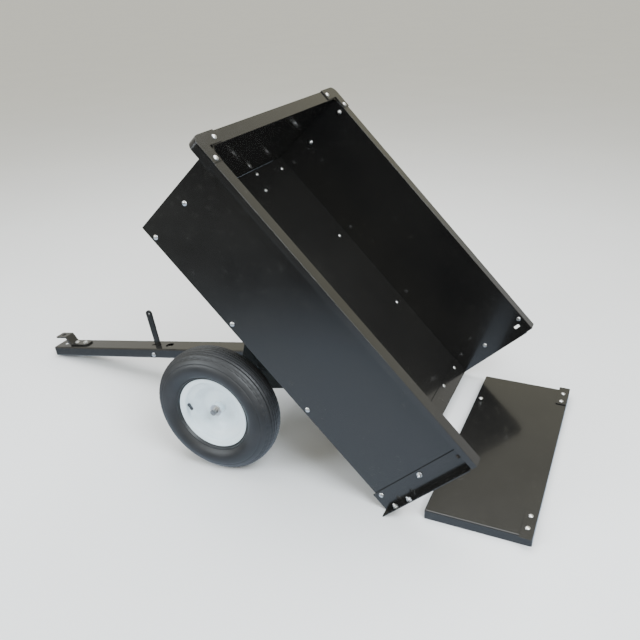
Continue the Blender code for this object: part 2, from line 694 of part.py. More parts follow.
def make_gate(gate):
    half = GATE_WIDTH / 2
    panel = block("tailgate_panel", (0, -half, -GATE_FLANGE), (GATE_HEIGHT, half, 0))
    round_edges(panel, lambda m, d: m.z > GATE_FLANGE / 2 - 0.001 or abs(d.z) > 0.9, 0.003, 2)
    inside = block("gate_pan_cutter", (SHEET, -half + SHEET, -GATE_FLANGE - 0.01),
                   (GATE_HEIGHT - SHEET, half - SHEET, -SHEET))
    cut([panel], inside, gate)
    as_part(panel, gate, BLACK_PAINT, smooth=True)
    for name, side in (("left", -1), ("right", 1)):
        near, far = sorted((side * 0.298, side * (half + 0.012)))
        ear = block(name + "_gate_ear", (GATE_HEIGHT - 0.036, near, GAP), (GATE_HEIGHT, far, GAP + 0.003))
        round_edges(ear, lambda m, d: abs(d.z) > 0.9, 0.005, 3)
        for number, y in enumerate(EAR_BOLTS, 1):
            place = (GATE_HEIGHT - 0.019, side * y, GAP + 0.003)
            cutter = rod("%s_ear_cutter_%d" % (name, number), 0.0036, (place[0], place[1], -0.01),
                         (place[0], place[1], 0.01), 14)
            cut([panel, ear], cutter, gate)
            bolt("%s_ear_bolt_%d" % (name, number), place, (0, 0, 0), 0.003 + GAP + SHEET, gate)
        as_part(ear, gate, BLACK_PAINT)


def main():
    start_scene()
    chassis = empty("tongue_frame", (AXLE_X, 0, TYRE_R), (0, -nose_angle(), 0))
    tube, top = make_tongue(chassis)
    make_hitch(chassis, tube, top)
    make_latch(chassis)
    make_axle(chassis)
    for name, side in (("left", -1), ("right", 1)):
        make_wheel(name, side)

    pivot = empty("box_pivot", (AXLE_X, 0, TYRE_R), (0, tip_angle(), 0))
    box = empty("box_frame", (-AXLE_BACK, 0, AXLE_DROP), parent=pivot)
    make_floor(box)
    front = make_front_panel(box)
    for name, side in (("left", -1), ("right", 1)):
        panel = make_side_panel(name, side, box)
        make_corner_cap(name, side, box, front, panel)
        make_rear_angle(name, side, box, panel)
        make_axle_bracket(name, side, box)
    for number, x in enumerate(STATIONS, 1):
        make_cross_member(number, x, box)
    make_latch_leg(box)

    hinge = gate_pivot()
    swing = empty("gate_pivot", (hinge.x, 0, hinge.y))
    gate = empty("gate_frame", (AXLE_X + GATE_X - hinge.x, 0, GATE_FLANGE - hinge.y), parent=swing)
    make_gate(gate)


main()
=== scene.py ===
"""Looks of the tow behind dump cart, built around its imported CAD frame. Metres, +Z up."""
import json
import math
import random

import bmesh
import bpy
from mathutils import Matrix, Vector


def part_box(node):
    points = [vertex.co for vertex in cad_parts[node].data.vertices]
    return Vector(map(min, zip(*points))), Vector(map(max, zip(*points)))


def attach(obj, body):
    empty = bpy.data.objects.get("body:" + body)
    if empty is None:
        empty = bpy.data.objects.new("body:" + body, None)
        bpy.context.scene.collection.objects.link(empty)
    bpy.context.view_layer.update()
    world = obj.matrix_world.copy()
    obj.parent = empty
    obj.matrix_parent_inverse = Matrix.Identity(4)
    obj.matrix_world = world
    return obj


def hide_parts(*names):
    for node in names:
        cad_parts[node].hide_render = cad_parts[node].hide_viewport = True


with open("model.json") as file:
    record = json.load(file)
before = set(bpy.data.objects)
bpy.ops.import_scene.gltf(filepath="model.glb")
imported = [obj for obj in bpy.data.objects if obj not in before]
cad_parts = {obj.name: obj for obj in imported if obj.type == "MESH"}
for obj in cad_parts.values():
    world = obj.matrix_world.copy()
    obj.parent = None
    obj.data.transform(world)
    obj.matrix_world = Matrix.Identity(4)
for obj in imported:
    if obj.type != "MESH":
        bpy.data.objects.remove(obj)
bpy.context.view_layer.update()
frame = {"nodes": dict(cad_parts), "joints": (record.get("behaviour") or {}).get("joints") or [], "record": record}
NODES = frame["nodes"]
JOINTS = {joint["name"]: joint for joint in frame["joints"]}
TAU = 2 * math.pi
SIDES = (("left", -1), ("right", 1))

# Frames of the tongue, the tipped box and the lying tailgate, from the record's joints and the tailgate panel's
# CAD box
AXLE = Vector(JOINTS["tip_box"]["pos_m"])
SLIDE_AXIS = Vector(JOINTS["slide_latch"]["axis"])
NOSE_DOWN = math.atan2(-SLIDE_AXIS.z, -SLIDE_AXIS.x)
TILT = -math.radians(JOINTS["tip_box"]["range_deg"][0]) - NOSE_DOWN
TONGUE = Matrix.Translation(AXLE) @ Matrix.Rotation(-NOSE_DOWN, 4, "Y")
BOX = Matrix.Translation(AXLE) @ Matrix.Rotation(TILT, 4, "Y") @ Matrix.Translation((-0.530, 0, 0.264))
GATE = Matrix.Translation((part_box("tailgate_panel")[0].x, 0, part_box("tailgate_panel")[1].z))
GATE_DEPTH = 0.298
BOX_HALF = 0.405
SIDE_TOP = 0.348
FLOOR_TOP = 0.036
STATIONS = (0.047, 0.370, 0.693, 1.017)
RNG = random.Random(7)


# Materials

class Nodes:
    """Short calls for building one procedural material."""

    def __init__(self, name):
        self.material = bpy.data.materials.new(name)
        self.material.use_nodes = True
        self.tree = self.material.node_tree
        self.shader = self.tree.nodes["Principled BSDF"]
        self.coords = self.add("ShaderNodeTexCoord").outputs["Object"]

    def add(self, kind, **settings):
        node = self.tree.nodes.new(kind)
        for key, value in settings.items():
            setattr(node, key, value)
        return node

    def link(self, source, target):
        self.tree.links.new(source, target)

    def stretched(self, scale):
        mapping = self.add("ShaderNodeMapping")
        mapping.inputs["Scale"].default_value = scale
        self.link(self.coords, mapping.inputs["Vector"])
        return mapping.outputs["Vector"]

    def noise(self, scale, detail=4.0, rough=0.55, vector=None, distortion=0.0):
        node = self.add("ShaderNodeTexNoise")
        node.inputs["Scale"].default_value = scale
        node.inputs["Detail"].default_value = detail
        node.inputs["Roughness"].default_value = rough
        node.inputs["Distortion"].default_value = distortion
        self.link(vector or self.coords, node.inputs["Vector"])
        return node.outputs["Fac"]

    def spread(self, value, low, high, from_low=0.0, from_high=1.0):
        node = self.add("ShaderNodeMapRange")
        for key, number in (("From Min", from_low), ("From Max", from_high),
                            ("To Min", low), ("To Max", high)):
            node.inputs[key].default_value = number
        self.link(value, node.inputs["Value"])
        return node.outputs["Result"]

    def combine(self, operation, a, b):
        node = self.add("ShaderNodeMath", operation=operation)
        for socket, item in zip(node.inputs, (a, b)):
            if isinstance(item, (int, float)):
                socket.default_value = item
            else:
                self.link(item, socket)
        return node.outputs[0]

    def colours(self, value, stops):
        node = self.add("ShaderNodeValToRGB")
        ramp = node.color_ramp
        while len(ramp.elements) < len(stops):
            ramp.elements.new(0.5)
        for element, (place, colour) in zip(ramp.elements, stops):
            element.position = place
            element.color = (*colour, 1)
        self.link(value, node.inputs["Fac"])
        return node.outputs["Color"]

    def blend(self, factor, a, b):
        node = self.add("ShaderNodeMix", data_type="RGBA")
        self.link(factor, node.inputs["Factor"])
        for key, item in (("A", a), ("B", b)):
            socket = [s for s in node.inputs if s.name == key and s.type == "RGBA"][0]
            if isinstance(item, tuple):
                socket.default_value = (*item, 1)
            else:
                self.link(item, socket)
        return [s for s in node.outputs if s.type == "RGBA"][0]

    def bump(self, height, strength, distance, after=None):
        node = self.add("ShaderNodeBump")
        node.inputs["Strength"].default_value = strength
        node.inputs["Distance"].default_value = distance
        self.link(height, node.inputs["Height"])
        if after is not None:
            self.link(after, node.inputs["Normal"])
        return node.outputs["Normal"]

    def set(self, **inputs):
        for key, value in inputs.items():
            socket = self.shader.inputs[key.replace("_", " ")]
            if isinstance(value, (int, float)):
                socket.default_value = value
            else:
                self.link(value, socket)
        return self.material


def black_paint():
    """Glossy black powder coat: orange peel, cloudy gloss, a little handling dust and hairline scuffs."""
    n = Nodes("black_paint")
    cloud = n.noise(2.6, 5.0, 0.6)
    dust = n.spread(n.noise(38.0, 8.0, 0.72), 0.0, 1.0, 0.56, 0.80)
    base = n.colours(cloud, [(0.30, (0.0075, 0.0075, 0.0078)), (0.72, (0.0125, 0.0122, 0.0115))])
    colour = n.blend(n.combine("MULTIPLY", dust, 0.22), base, (0.055, 0.052, 0.044))
    hair = n.spread(n.noise(9.0, 3.0, 0.5, n.stretched((3.0, 60.0, 60.0)), 0.4), 0.0, 1.0, 0.60, 0.72)
    rough = n.combine("ADD", n.spread(cloud, 0.13, 0.23, 0.3, 0.7), n.combine("MULTIPLY", dust, 0.16))
    rough = n.combine("ADD", rough, n.combine("MULTIPLY", hair, 0.05))
    peel = n.bump(n.noise(420.0, 2.0, 0.5), 0.10, 0.00025)
    wave = n.bump(n.noise(7.0, 2.0, 0.4), 0.10, 0.0025, peel)
    return n.set(Base_Color=colour, Roughness=rough, Normal=wave, Coat_Weight=0.25, Coat_Roughness=0.06,
                 IOR=1.5)


def rim_paint():
    """Satin white enamel with a faint blue cast, greyer dust in patches and fine orange peel."""
    n = Nodes("rim_paint")
    cloud = n.noise(14.0, 5.0, 0.6)
    speck = n.spread(n.noise(160.0, 6.0, 0.7), 0.0, 1.0, 0.60, 0.78)
    base = n.colours(cloud, [(0.28, (0.60, 0.71, 0.78)), (0.55, (0.70, 0.81, 0.88)),
                             (0.78, (0.78, 0.86, 0.91))])
    colour = n.blend(n.combine("MULTIPLY", speck, 0.28), base, (0.36, 0.37, 0.36))
    peel = n.bump(n.noise(520.0, 2.0, 0.5), 0.12, 0.0003)
    return n.set(Base_Color=colour, Roughness=n.spread(cloud, 0.30, 0.46, 0.3, 0.7), Normal=peel,
                 Coat_Weight=0.2, Coat_Roughness=0.15)


def zinc():
    """Bright zinc plate: pale grey metal with a faint warm and blue passivation and drawn lines."""
    n = Nodes("zinc")
    patch = n.noise(90.0, 4.0, 0.6)
    lines = n.noise(140.0, 3.0, 0.6, n.stretched((1.0, 1.0, 7.0)))
    colour = n.colours(patch, [(0.30, (0.58, 0.60, 0.64)), (0.55, (0.74, 0.74, 0.73)),
                               (0.76, (0.80, 0.76, 0.66))])
    rough = n.combine("ADD", n.spread(patch, 0.20, 0.36, 0.3, 0.7), n.spread(lines, 0.0, 0.08))
    return n.set(Base_Color=colour, Roughness=rough, Metallic=1.0, Normal=n.bump(lines, 0.15, 0.0001))


def bare_steel():
    """Plain drawn steel with an oil-dark skin and fine lines along its length."""
    n = Nodes("bare_steel")
    skin = n.noise(30.0, 6.0, 0.65)
    lines = n.noise(120.0, 4.0, 0.6, n.stretched((8.0, 0.6, 8.0)))
    colour = n.colours(skin, [(0.28, (0.20, 0.19, 0.185)), (0.6, (0.40, 0.40, 0.40)),
                              (0.8, (0.50, 0.49, 0.47))])
    return n.set(Base_Color=colour, Roughness=n.spread(lines, 0.26, 0.46, 0.3, 0.7), Metallic=1.0,
                 Normal=n.bump(lines, 0.2, 0.00015))


def tyre_rubber():
    """Moulded tyre rubber: near black, greyer where it has bloomed, with a fine mould grain."""
    n = Nodes("tyre_rubber")
    bloom = n.noise(11.0, 6.0, 0.62)
    grain = n.noise(620.0, 3.0, 0.6)
    base = n.colours(bloom, [(0.30, (0.011, 0.012, 0.014)), (0.55, (0.017, 0.018, 0.021)),
                             (0.78, (0.027, 0.028, 0.032))])
    chalk = n.spread(n.noise(75.0, 7.0, 0.75), 0.0, 1.0, 0.57, 0.80)
    colour = n.blend(n.combine("MULTIPLY", chalk, 0.30), base, (0.080, 0.079, 0.075))
    rough = n.combine("ADD", n.spread(bloom, 0.40, 0.56, 0.3, 0.7), n.combine("MULTIPLY", chalk, 0.14))
    skin = n.bump(grain, 0.25, 0.0003)
    return n.set(Base_Color=colour, Roughness=rough, Normal=n.bump(n.noise(46.0, 3.0), 0.12, 0.0008, skin),
                 Specular_IOR_Level=0.55)


def stem_rubber():
    n = Nodes("stem_rubber")
    bloom = n.noise(220.0, 4.0, 0.6)
    colour = n.colours(bloom, [(0.3, (0.012, 0.014, 0.018)), (0.75, (0.036, 0.040, 0.048))])
    return n.set(Base_Color=colour, Roughness=n.spread(bloom, 0.42, 0.62), Normal=n.bump(bloom, 0.2, 0.0002))


def nylon():
    n = Nodes("nylon")
    swirl = n.noise(120.0, 5.0, 0.6, None, 1.2)
    colour = n.colours(swirl, [(0.3, (0.060, 0.060, 0.064)), (0.75, (0.105, 0.104, 0.102))])
    return n.set(Base_Color=colour, Roughness=n.spread(swirl, 0.36, 0.55), Normal=n.bump(swirl, 0.12, 0.0002))


def weld_metal():
    """A weld bead under the rim's enamel: the same pale paint, pooled over ripples."""
    n = Nodes("weld_metal")
    ripple = n.noise(300.0, 3.0, 0.5)
    colour = n.colours(ripple, [(0.3, (0.55, 0.60, 0.63)), (0.75, (0.72, 0.77, 0.80))])
    return n.set(Base_Color=colour, Roughness=n.spread(ripple, 0.34, 0.5),
                 Normal=n.bump(ripple, 0.35, 0.0004))


FINISH = {"black_paint": black_paint(), "rim_paint": rim_paint(), "zinc": zinc(), "bare_steel": bare_steel(),
          "tyre": tyre_rubber(), "stem_rubber": stem_rubber(), "nylon": nylon()}
RIM_WELD = weld_metal()


# Mesh helpers

def smooth_by_angle(mesh, degrees=34):
    mesh.shade_smooth()
    mesh.set_sharp_from_angle(angle=math.radians(degrees))


def piece(name, bm, body, slot, material=None, replaces=(), smooth=34):
    """A finished mesh that rides on a body and takes a slot's finish."""
    bmesh.ops.recalc_face_normals(bm, faces=bm.faces)
    mesh = bpy.data.meshes.new(name)
    bm.to_mesh(mesh)
    bm.free()
    obj = bpy.data.objects.new(name, mesh)
    bpy.context.scene.collection.objects.link(obj)
    mesh.materials.append(material or FINISH[slot])
    smooth_by_angle(mesh, smooth)
    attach(obj, body)
    if replaces:
        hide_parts(*replaces)
    return obj


def add_turned(bm, profile, matrix, steps=24, closed=False, radius=None):
    """Turn (radius, height) points about local Z. radius(angle, index) may change a point's radius."""
    rings = []
    for index, (r, h) in enumerate(profile):
        if r < 1e-6:
            rings.append([bm.verts.new(matrix @ Vector((0, 0, h)))])
            continue
        ring = []
        for step in range(steps):
            a = TAU * step / steps
            wide = radius(step, index, r, h) if radius else r
            ring.append(bm.verts.new(matrix @ Vector((wide * math.cos(a), wide * math.sin(a), h))))
        rings.append(ring)
    pairs = list(zip(rings, rings[1:]))
    if closed:
        pairs.append((rings[-1], rings[0]))
    for a, b in pairs:
        for step in range(steps):
            after = (step + 1) % steps
            if len(a) == 1 and len(b) == 1:
                continue
            if len(a) == 1:
                bm.faces.new((a[0], b[step], b[after]))
            elif len(b) == 1:
                bm.faces.new((a[step], b[0], a[after]))
            else:
                bm.faces.new((a[step], b[step], b[after], a[after]))


def hexagon(across):
    """Radius of a hexagon, across its flats, at each of 24 steps."""
    def radius(step, index, r, h):
        a = (TAU * step / 24) % (TAU / 6) - TAU / 12
        return r * across / math.cos(a) if r > 0.99 else r
    return radius


def along(direction, place):
    """Matrix that stands local Z along a direction at a place."""
    return Matrix.Translation(place) @ Vector(direction).to_track_quat("Z", "Y").to_matrix().to_4x4()


def add_bolt(bm, matrix, grip, head=0.0078, shank=0.0031, nut=0.0057, hex_head=False, tail=0.0045):
    """Bolt with its head on local +Z at 0, a washer, a lock nut and thread turns beyond it."""
    matrix = matrix @ Matrix.Rotation(RNG.uniform(0, TAU), 4, "Z")
    if hex_head:
        flats = hexagon(head * 0.86)
        rim = [(0, 0.0052), (head * 0.72, 0.0052), (head * 0.80, 0.0050), (1.0, 0.0040), (1.0, 0.0012),
               (head * 0.80, 0.0011), (head * 1.22, 0.0010), (head * 1.24, 0.0006),
               (head * 1.24, 0.0001), (0, 0.0001)]
        add_turned(bm, rim, matrix, 24, radius=flats)
    else:
        dome = [(0, 0.0041), (head * 0.25, 0.0040), (head * 0.5, 0.0036), (head * 0.74, 0.0027),
                (head * 0.92, 0.0016), (head * 0.99, 0.0008), (head, 0.0004), (head * 0.985, 0.0001),
                (0, 0.0001)]
        add_turned(bm, dome, matrix, 24)
    add_turned(bm, [(shank, 0.0), (shank, -grip)], matrix, 16)
    back = -grip - 0.0001
    washer = [(shank, back), (nut * 1.38, back), (nut * 1.42, back - 0.0003), (nut * 1.42, back - 0.0009),
              (nut * 1.38, back - 0.0012), (shank, back - 0.0012)]
    add_turned(bm, washer, matrix, 24)
    base = back - 0.0012
    flats = hexagon(nut)
    body = [(shank, base), (nut * 0.96, base), (1.0, base - 0.0006), (1.0, base - 0.0040),
            (nut * 0.95, base - 0.0047), (nut * 0.90, base - 0.0049), (nut * 0.88, base - 0.0060),
            (nut * 0.78, base - 0.0066), (shank, base - 0.0066)]
    add_turned(bm, body, matrix, 24, radius=flats)
    pitch, turns = 0.0010, int(tail / 0.0010)
    thread = []
    for i in range(turns):
        top = base - 0.0062 - i * pitch
        thread += [(shank * 0.88, top), (shank, top - pitch * 0.5)]
    end = base - 0.0062 - turns * pitch
    thread += [(shank * 0.88, end), (shank * 0.80, end - 0.0005), (0, end - 0.0005)]
    add_turned(bm, thread, matrix, 16)


def bolts(name, body, frame_matrix, items, replaces=(), **options):
    """Several bolts as one piece. items are (place, direction of the head, grip)."""
    bm = bmesh.new()
    for place, direction, grip in items:
        add_bolt(bm, frame_matrix @ along(direction, place), grip, **options)
    return piece(name, bm, body, "zinc", replaces=replaces, smooth=28)


def refined(node, body, slot, width, segments=2, angle=40):
    """A copy of a CAD node's solid with its sharp edges broken, as bent and painted sheet has."""
    bm = bmesh.new()
    bm.from_mesh(NODES[node].data)
    bmesh.ops.remove_doubles(bm, verts=bm.verts, dist=0.00001)
    bmesh.ops.dissolve_limit(bm, angle_limit=math.radians(1.0), verts=bm.verts, edges=bm.edges)
    obj = piece(node + "_sheet", bm, body, slot, replaces=(node,), smooth=180)
    bevel = obj.modifiers.new("broken_edges", "BEVEL")
    bevel.width = width
    bevel.segments = segments
    bevel.limit_method = "ANGLE"
    bevel.angle_limit = math.radians(angle)
    bevel.miter_outer = "MITER_ARC"
    even = obj.modifiers.new("flat_faces_stay_flat", "WEIGHTED_NORMAL")
    even.mode = "FACE_AREA"
    even.weight = 100
    even.keep_sharp = True
    return obj


# Wheels

TREAD_R, SHOULDER = 0.2030, 0.0352


def tyre_section():
    """Closed section: moulded sidewall rings, a rolled shoulder, ribs and grooves, then the inside."""
    side = [(0.1028, 0.0288), (0.1090, 0.0300), (0.1150, 0.0316), (0.1175, 0.0340), (0.1198, 0.0385),
            (0.1225, 0.0428), (0.1232, 0.0446), (0.1245, 0.0450), (0.1258, 0.0446), (0.1300, 0.0487),
            (0.1345, 0.0522), (0.1400, 0.0552), (0.1460, 0.0568), (0.1520, 0.0574), (0.1580, 0.0573),
            (0.1640, 0.0561), (0.1690, 0.0543), (0.1712, 0.0531), (0.1720, 0.0520), (0.1735, 0.0512),
            (0.1752, 0.0512), (0.1764, 0.0507), (0.1800, 0.0482), (0.1840, 0.0450), (0.1862, 0.0428),
            (0.1868, 0.0416), (0.1884, 0.0405), (0.1893, 0.0404), (0.1922, 0.0372)]
    ribs = []
    half = SHOULDER
    count = 7
    pitch = 2 * half / count
    for i in range(count):
        top = half - i * pitch
        low = top - pitch * 0.70
        crown = lambda h: TREAD_R - 0.0075 * (h / half) ** 2
        ribs += [(crown(top) - 0.0008, top), (crown(top), top - 0.0006), (crown(low), low + 0.0006),
                 (crown(low) - 0.0008, low)]
        if i < count - 1:
            floor = crown(low) - 0.0042
            ribs += [(floor, low - 0.0005), (floor, top - pitch + 0.0005)]
    inside = [(0.1024, -0.0284), (0.1024, -0.0215), (0.1045, -0.0215), (0.1120, -0.0240), (0.1220, -0.0350),
              (0.1330, -0.0460), (0.1550, -0.0505), (0.1760, -0.0450), (0.1860, -0.0350), (0.1930, -0.0180)]
    mirror = [(r, -h) for r, h in reversed(side)]
    return side + ribs + mirror + inside + [(0.1950, 0.0)] + [(r, -h) for r, h in reversed(inside)]


def make_tyre(name, centre):
    """Tyre with small notches across its tread at every fourth step and small siping along the shoulders."""
    section = tyre_section()
    steps = 288
    half = SHOULDER + 0.0002

    def wide(step, index, r, h):
        if abs(h) > half or r < 0.188:
            if 0.1872 < r < 0.1925 and abs(h) > 0.036:
                return r - (0.0011 if step % 6 < 2 else 0.0)
            return r
        lug = 0.0007 if step % 4 == 0 else 0.0
        return r - lug if r > 0.1935 else r
    bm = bmesh.new()
    add_turned(bm, section, centre, steps, closed=True, radius=wide)
    return piece(name + "_tyre_tread", bm, name + "_wheel", "tyre", replaces=(name + "_tyre",), smooth=38)


def make_rim(name, centre):
    """Pressed rim with a rolled edge, soft bends, a dish and a hub tube welded in."""
    front = [(0.1142, 0.0376), (0.1128, 0.0369), (0.1112, 0.0361), (0.1075, 0.0350), (0.1030, 0.0337),
             (0.1004, 0.0320), (0.0993, 0.0299), (0.0990, 0.0270), (0.0984, 0.0249), (0.0970, 0.0238),
             (0.0920, 0.0216), (0.0860, 0.0190), (0.0812, 0.0169), (0.0790, 0.0154), (0.0768, 0.0130),
             (0.0735, 0.0090), (0.0690, 0.0042), (0.0640, -0.0009), (0.0590, -0.0046),
             (0.0545, -0.0067), (0.0500, -0.0077), (0.0440, -0.0080), (0.0230, -0.0081)]
    hub = [(0.0222, -0.0078), (0.0206, -0.0060), (0.0188, -0.0050), (0.0176, -0.0046), (0.0175, 0.0143),
           (0.0171, 0.0149), (0.0166, 0.0151), (0.0134, 0.0151), (0.0131, 0.0148), (0.0131, -0.0378),
           (0.0136, -0.0381), (0.0170, -0.0381), (0.0175, -0.0376), (0.0175, -0.0150), (0.0205, -0.0116)]
    back = [(0.0500, -0.0108), (0.0565, -0.0098), (0.0641, -0.0052), (0.0760, 0.0075), (0.0795, 0.0098),
            (0.0818, 0.0092), (0.0825, 0.0070), (0.0825, -0.0140), (0.0835, -0.0152), (0.0975, -0.0208),
            (0.0986, -0.0225), (0.0990, -0.0290), (0.1000, -0.0316), (0.1030, -0.0335), (0.1112, -0.0357),
            (0.1142, -0.0370)]
    roll = [(0.1152, -0.0372), (0.1164, -0.0369), (0.1169, -0.0362), (0.1166, -0.0352), (0.1135, -0.0334),
            (0.1040, -0.0312), (0.1019, -0.0285), (0.1010, -0.0205), (0.0998, -0.0194), (0.0858, -0.0136),
            (0.0850, -0.0125), (0.0850, 0.0130), (0.0858, 0.0146), (0.0998, 0.0218), (0.1010, 0.0230),
            (0.1019, 0.0285), (0.1040, 0.0312), (0.1135, 0.0334), (0.1166, 0.0352), (0.1170, 0.0361),
            (0.1168, 0.0371), (0.1160, 0.0378), (0.1151, 0.0380)]
    bm = bmesh.new()
    add_turned(bm, front + hub + back + roll, centre, 120, closed=True)
    piece(name + "_rim_pressing", bm, name + "_wheel", "rim_paint", replaces=(name + "_rim",), smooth=50)
    bm = bmesh.new()
    add_rippled_ring(bm, centre @ Matrix.Translation((0, 0, -0.0066)), 0.0190, 0.0020, 46)
    piece(name + "_hub_weld", bm, name + "_wheel", "rim_paint", RIM_WELD, smooth=60)


def add_rippled_ring(bm, matrix, radius, thickness, ripples):
    """A weld bead laid round a tube."""
    steps, sides = ripples * 4, 8
    rings = []
    for i in range(steps):
        a = TAU * i / steps
        size = thickness * (0.90 + 0.14 * math.cos(i * TAU / 4))
        ring = []
        for j in range(sides):
            b = TAU * j / sides
            r = radius + size * math.cos(b)
            ring.append(bm.verts.new(matrix @ Vector((r * math.cos(a), r * math.sin(a), size * math.sin(b)))))
        rings.append(ring)
    for i in range(steps):
        for j in range(sides):
            a, b = rings[i], rings[(i + 1) % steps]
            bm.faces.new((a[j], b[j], b[(j + 1) % sides], a[(j + 1) % sides]))


def make_stem(name, side):
    """Snap-in valve stem: a swollen rubber foot, a ribbed neck and a fluted cap."""
    low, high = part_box(name + "_valve_stem")
    middle = (low + high) / 2
    direction = Vector((0.016, side * 0.012, -0.001))
    length = 0.0358
    lean = along(direction, middle - direction.normalized() * length / 2)
    foot = [(0, 0.0), (0.0042, 0.0), (0.0050, 0.0008), (0.0052, 0.0062), (0.0055, 0.0070), (0.0055, 0.0086),
            (0.0050, 0.0094), (0.0047, 0.0130), (0.0046, 0.0170), (0.0044, 0.0205), (0.0042, 0.0215),
            (0, 0.0215)]
    cap = [(0, 0.0212), (0.0043, 0.0214), (0.0047, 0.0222), (0.0047, 0.0330), (0.0044, 0.0346),
           (0.0036, 0.0355), (0.0016, 0.0358), (0, 0.0358)]

    def fluted(step, index, r, h):
        return r - 0.00035 if r > 0.0037 and step % 3 == 0 else r
    bm = bmesh.new()
    add_turned(bm, foot, lean, 24)
    add_turned(bm, cap, lean, 36, radius=fluted)
    piece(name + "_stem_detail", bm, name + "_wheel", "stem_rubber",
          replaces=(name + "_valve_stem",), smooth=40)


def add_wire(bm, points, radius, sides=12):
    """A round wire through points, with flat ends."""
    points = [Vector(p) for p in points]
    rings = []
    normal = None
    for i, point in enumerate(points):
        ahead = (points[min(i + 1, len(points) - 1)] - points[max(i - 1, 0)]).normalized()
        if normal is None:
            normal = ahead.orthogonal().normalized()
        normal = (normal - ahead * normal.dot(ahead)).normalized()
        other = ahead.cross(normal)
        ring = []
        for j in range(sides):
            a = TAU * j / sides
            ring.append(bm.verts.new(point + (normal * math.cos(a) + other * math.sin(a)) * radius))
        rings.append(ring)
    for a, b in zip(rings, rings[1:]):
        for j in range(sides):
            bm.faces.new((a[j], b[j], b[(j + 1) % sides], a[(j + 1) % sides]))
    bm.faces.new(rings[0])
    bm.faces.new(list(reversed(rings[-1])))


for wheel, hand in SIDES:
    hub_place = Vector(JOINTS["spin_%s_wheel" % wheel]["pos_m"])
    wheel_matrix = Matrix.Translation(hub_place) @ Matrix.Rotation(-hand * math.pi / 2, 4, "X")
    make_tyre(wheel, wheel_matrix)
    make_rim(wheel, wheel_matrix)
    make_stem(wheel, hand)


# Sheet metal: the CAD solids with their edges broken

PAINTED = {"tub": ["floor_panel", "rear_sill", "front_panel", "latch_leg"]
           + ["cross_member_%d" % i for i in (1, 2, 3, 4)]
           + [side + part for side in ("left_", "right_")
              for part in ("side_panel", "corner_cap", "rear_angle", "axle_bracket")],
           "frame": ["hitch_plate", "hitch_lower_plate"], "latch_lever": ["latch_lever"],
           "tailgate": ["left_gate_ear", "right_gate_ear"]}
for body_name, members in PAINTED.items():
    for member in members:
        refined(member, body_name, "black_paint", 0.0009 if member != "latch_lever" else 0.0012)

SLOTS = {item["node"]: item["material_slot"] for item in frame["record"]["subparts"]}
for node_name, node in NODES.items():
    node.data.materials.clear()
    node.data.materials.append(FINISH[SLOTS[node_name]])


# Bolts of the box, the rear angles, the tailgate and the tongue

side_items, floor_items, angle_items = [], [], []
for name, hand in SIDES:
    wall = hand * BOX_HALF
    for x in STATIONS[:3]:
        side_items.append(((x, wall, 0.0145), (0, hand, 0), 0.0043))
    side_items.append(((STATIONS[3], wall + hand * 0.0033, 0.0145), (0, hand, 0), 0.0076))
    for z in (0.169, 0.327):
        side_items.append(((0.046, wall, z), (0, hand, 0), 0.0043))
    side_items.append(((1.004, wall - hand * 0.002, 0.3325), (0, -hand, 0), 0.0022))
    for x, y, top in ((0.044, 0.350, 0), (0.366, 0.350, 0), (0.689, 0.350, 0), (1.013, 0.350, 0.0023),
                      (0.086, 0.167, 0), (0.021, 0.194, 0), (1.012, 0.209, 0.0023)):
        floor_items.append(((x, hand * y, FLOOR_TOP + top), (0, 0, 1), 0.0034 + top))
    for z in (0.041, 0.094):
        angle_items.append(((1.0633, hand * 0.425, z), (1, 0, 0), 0.0031))
bolts("side_bolts", "tub", BOX, side_items)
bolts("floor_bolts", "tub", BOX, floor_items, head=0.0070)
bolts("angle_leg_bolts", "tub", BOX, angle_items)

cap_items, gate_items, bracket_items, rear_items = [], [], [], []
cap_nodes, gate_nodes, rear_nodes = [], [], []
for name, hand in SIDES:
    cap_items.append(((-0.018, hand * 0.363, SIDE_TOP + 0.0033), (0, 0, 1), 0.0054))
    cap_items.append(((0.036, hand * 0.4225, SIDE_TOP + 0.0033), (0, 0, 1), 0.0054))
    cap_nodes += [name + "_cap_bolt_front", name + "_cap_bolt_side"]
    rear_items.append(((1.018, hand * (BOX_HALF - 0.002), 0.166), (0, -hand, 0), 0.0054))
    rear_nodes.append(name + "_angle_bolt")
    for number, y in ((1, 0.316), (2, 0.368)):
        gate_items.append(((GATE_DEPTH - 0.019, hand * y, 0.0033), (0, 0, 1), 0.0054))
        gate_nodes.append("%s_ear_bolt_%d" % (name, number))
    gate_items.append(((0.0162, hand * 0.238, 0.0), (0, 0, 1), 0.0021))
    for station in STATIONS[1:3]:
        for offset in (-0.025, 0.025):
            bracket_items.append(((station + offset, hand * 0.219, 0.0021), (0, 0, 1), 0.0066))
bolts("cap_bolts", "tub", BOX, cap_items, cap_nodes)
bolts("rear_side_bolts", "tub", BOX, rear_items, rear_nodes)
bolts("tailgate_bolts", "tailgate", GATE, gate_items, gate_nodes)
bolts("bracket_bolts", "tub", BOX, bracket_items, head=0.0062)
hitch_top = 0.0253
bolts("hitch_bolts", "frame", TONGUE, [((x, 0, hitch_top), (0, 0, 1), 0.0506) for x in (-0.935, -0.890)],
      ("hitch_bolt_front", "hitch_bolt_rear"), head=0.0085, shank=0.0040, nut=0.0065, hex_head=True)
bolts("lever_bolt", "frame", TONGUE, [((-0.519, -0.0383, -0.004),
                                      (0, -1, 0), 0.0763)], ("lever_pivot_bolt",),
      head=0.0072, hex_head=True)


# Axle hardware

